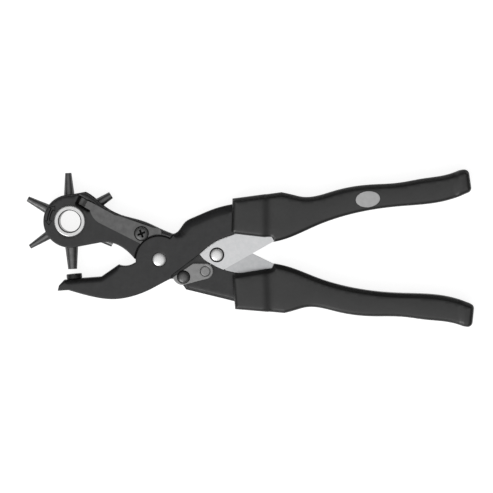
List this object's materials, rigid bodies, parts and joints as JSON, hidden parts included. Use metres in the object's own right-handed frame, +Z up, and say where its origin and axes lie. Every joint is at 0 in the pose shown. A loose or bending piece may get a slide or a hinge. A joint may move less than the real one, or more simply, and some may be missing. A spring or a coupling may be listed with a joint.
{
  "type": "revolving punch pliers",
  "caption": "Lever-action revolving hole punch pliers with a turning wheel of hollow punches, an anvil jaw and black plastic grips.",
  "frame": {"origin": "middle of the tool's footprint, on the surface it lies on, with the wheel end at -X and the grips at +X", "axes": "+X from the punch wheel towards the grips, +Y towards the wheel-side handle, +Z up through the flat of the tool, along every pivot"},
  "size_m": [0.2511, 0.0886, 0.0162],
  "materials": {
    "forged_steel": "black phosphated, satin",
    "anvil_steel": "dull grey",
    "zinc_plate": "zinc plated, fine matt",
    "bright_steel": "polished",
    "spring_steel": "blued, matt",
    "screw_steel": "black oxide",
    "tube_steel": "gunmetal, turned",
    "link_steel": "grey, tumbled",
    "black_plastic": "satin moulded"
  },
  "bodies": {
    "jaw_lever": {"anvil_jaw_lever": "forged_steel", "anvil": "anvil_steel", "upper_handle_channel": "zinc_plate", "upper_handle_sleeve": "black_plastic", "upper_channel_rivets": "bright_steel", "main_pivot_rivet": "bright_steel", "handle_pivot_rivet": "bright_steel"},
    "wheel_arm": {"wheel_arm": "forged_steel", "detent_spring": "spring_steel", "spring_screw": "screw_steel", "hub_axle": "bright_steel"},
    "wheel": {"punch_wheel": "forged_steel", "punch_tube_20": "tube_steel", "punch_tube_25": "tube_steel", "punch_tube_30": "tube_steel", "punch_tube_35": "tube_steel", "punch_tube_40": "tube_steel", "punch_tube_45": "tube_steel"},
    "lower_handle": {"lower_lever": "forged_steel", "lower_handle_channel": "zinc_plate", "lower_handle_sleeve": "black_plastic", "lower_channel_rivets": "bright_steel", "nose_rivet": "link_steel", "opening_spring": "spring_steel"},
    "link": {"link_plate_front": "link_steel", "link_plate_rear": "link_steel", "link_pin": "link_steel"}
  },
  "joints": [
    {"name": "handle_squeeze", "type": "hinge", "parent": "jaw_lever", "child": "lower_handle", "pos_m": [-0.018, -0.0034, 0.0076], "axis": [0, 0, 1], "range_deg": [0, 10], "stiffness_Nm_per_rad": 1, "springref_deg": -17.19, "deforming": ["opening_spring"]},
    {"name": "jaw_close", "type": "hinge", "parent": "jaw_lever", "child": "wheel_arm", "pos_m": [-0.0503, -0.006, 0.0076], "axis": [0, 0, 1], "range_deg": [0, 3]},
    {"name": "link_swing", "type": "hinge", "parent": "lower_handle", "child": "link", "pos_m": [-0.0367, -0.0159, 0.0076], "axis": [0, 0, 1], "range_deg": [0, 12.5]},
    {"name": "wheel_index", "type": "hinge", "parent": "wheel_arm", "child": "wheel", "pos_m": [-0.1003, 0.0155, 0.0076], "axis": [0, 0, 1], "continuous": true, "deforming": ["detent_spring"]}
  ],
  "couplings": [
    {"joint": "jaw_close", "follows": "handle_squeeze", "ratio": 0.3},
    {"joint": "link_swing", "follows": "handle_squeeze", "ratio": 1.25}
  ]
}
